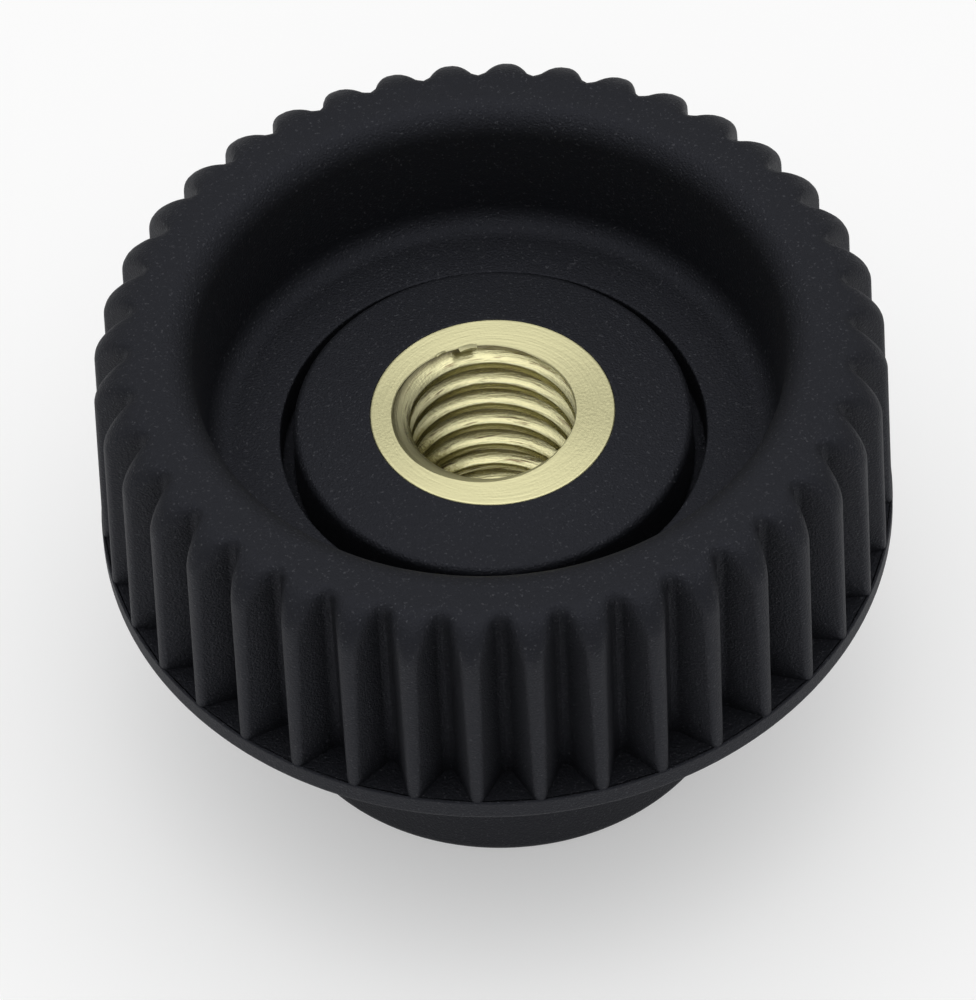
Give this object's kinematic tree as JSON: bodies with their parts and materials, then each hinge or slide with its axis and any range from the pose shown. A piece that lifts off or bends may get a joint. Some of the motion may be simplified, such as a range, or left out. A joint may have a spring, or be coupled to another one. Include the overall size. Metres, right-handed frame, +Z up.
{
  "type": "fluted knob",
  "caption": "Round fluted plastic clamping knob with a bowl-shaped top, a hub below and a threaded brass insert through its centre.",
  "frame": {"origin": "centre of the hub's seating face, on the screw axis", "axes": "+Z up the screw axis, from the seating face towards the rim; a rib's crest lies on +X"},
  "size_m": [0.032, 0.032, 0.021],
  "materials": {
    "black_plastic": "fine moulded grain, satin black",
    "brass": "turned, bright"
  },
  "bodies": {
    "root": {"knob_body": "black_plastic", "threaded_insert": "brass"}
  },
  "joints": []
}
